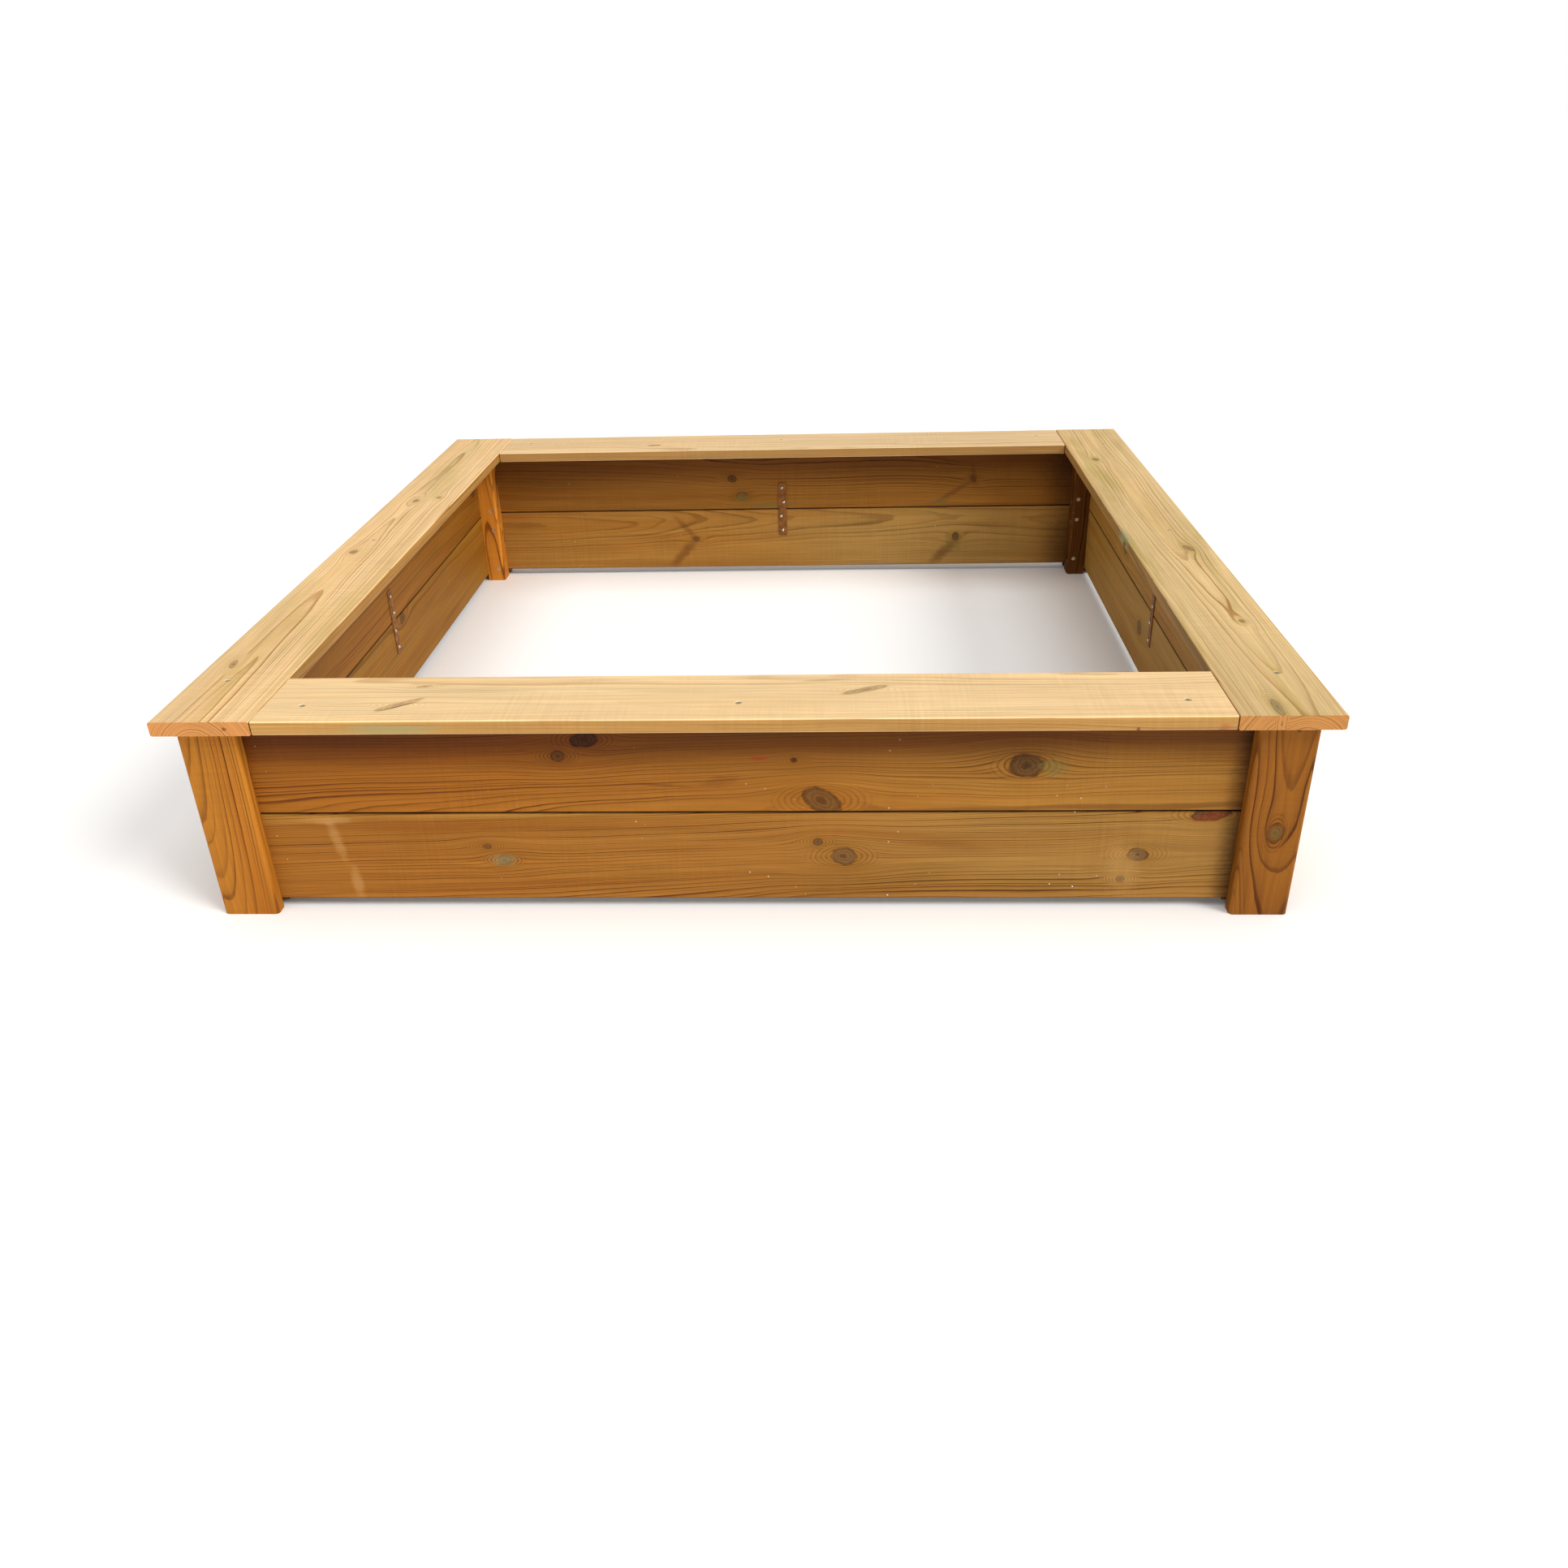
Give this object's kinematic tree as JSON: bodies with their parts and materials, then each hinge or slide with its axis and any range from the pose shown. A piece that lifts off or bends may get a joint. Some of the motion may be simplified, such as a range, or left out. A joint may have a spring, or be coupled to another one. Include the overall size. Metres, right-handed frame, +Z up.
{
  "type": "garden sandbox",
  "caption": "Open square timber sandbox: grooved corner posts hold plank walls under a flat seat frame, with steel straps and screws.",
  "frame": {"origin": "on the ground, at the middle of the square plan", "axes": "+Z up; the front wall faces -Y; +X to the right seen from the front; the left and right seat boards run the full depth"},
  "size_m": [1.6, 1.6, 0.327],
  "materials": {
    "seat_wood": "planed pine, pale, pressure treated, unpainted",
    "wall_wood": "planed pine, warm brown, pressure treated, unpainted",
    "post_wood": "planed pine post, warm brown, pressure treated, unpainted",
    "strap_steel": "thin flat steel, brown coated, satin",
    "wood_screw_steel": "zinc plated countersunk wood screw",
    "strap_screw_steel": "zinc plated round head screw"
  },
  "bodies": {
    "root": {"post_back_left": "post_wood", "post_back_right": "post_wood", "post_front_left": "post_wood", "post_front_right": "post_wood", "seat_board_back": "seat_wood", "seat_board_front": "seat_wood", "seat_board_left": "seat_wood", "seat_board_right": "seat_wood", "seat_screws_back": "wood_screw_steel", "seat_screws_front": "wood_screw_steel", "seat_screws_left": "wood_screw_steel", "seat_screws_right": "wood_screw_steel", "strap_back": "strap_steel", "strap_front": "strap_steel", "strap_left": "strap_steel", "strap_right": "strap_steel", "strap_screws_back": "strap_screw_steel", "strap_screws_front": "strap_screw_steel", "strap_screws_left": "strap_screw_steel", "strap_screws_right": "strap_screw_steel", "wall_board_back_lower": "wall_wood", "wall_board_back_upper": "wall_wood", "wall_board_front_lower": "wall_wood", "wall_board_front_upper": "wall_wood", "wall_board_left_lower": "wall_wood", "wall_board_left_upper": "wall_wood", "wall_board_right_lower": "wall_wood", "wall_board_right_upper": "wall_wood", "wall_screws_back_at_back_left": "wood_screw_steel", "wall_screws_back_at_back_right": "wood_screw_steel", "wall_screws_front_at_front_left": "wood_screw_steel", "wall_screws_front_at_front_right": "wood_screw_steel", "wall_screws_left_at_back_left": "wood_screw_steel", "wall_screws_left_at_front_left": "wood_screw_steel", "wall_screws_right_at_back_right": "wood_screw_steel", "wall_screws_right_at_front_right": "wood_screw_steel"}
  },
  "joints": []
}
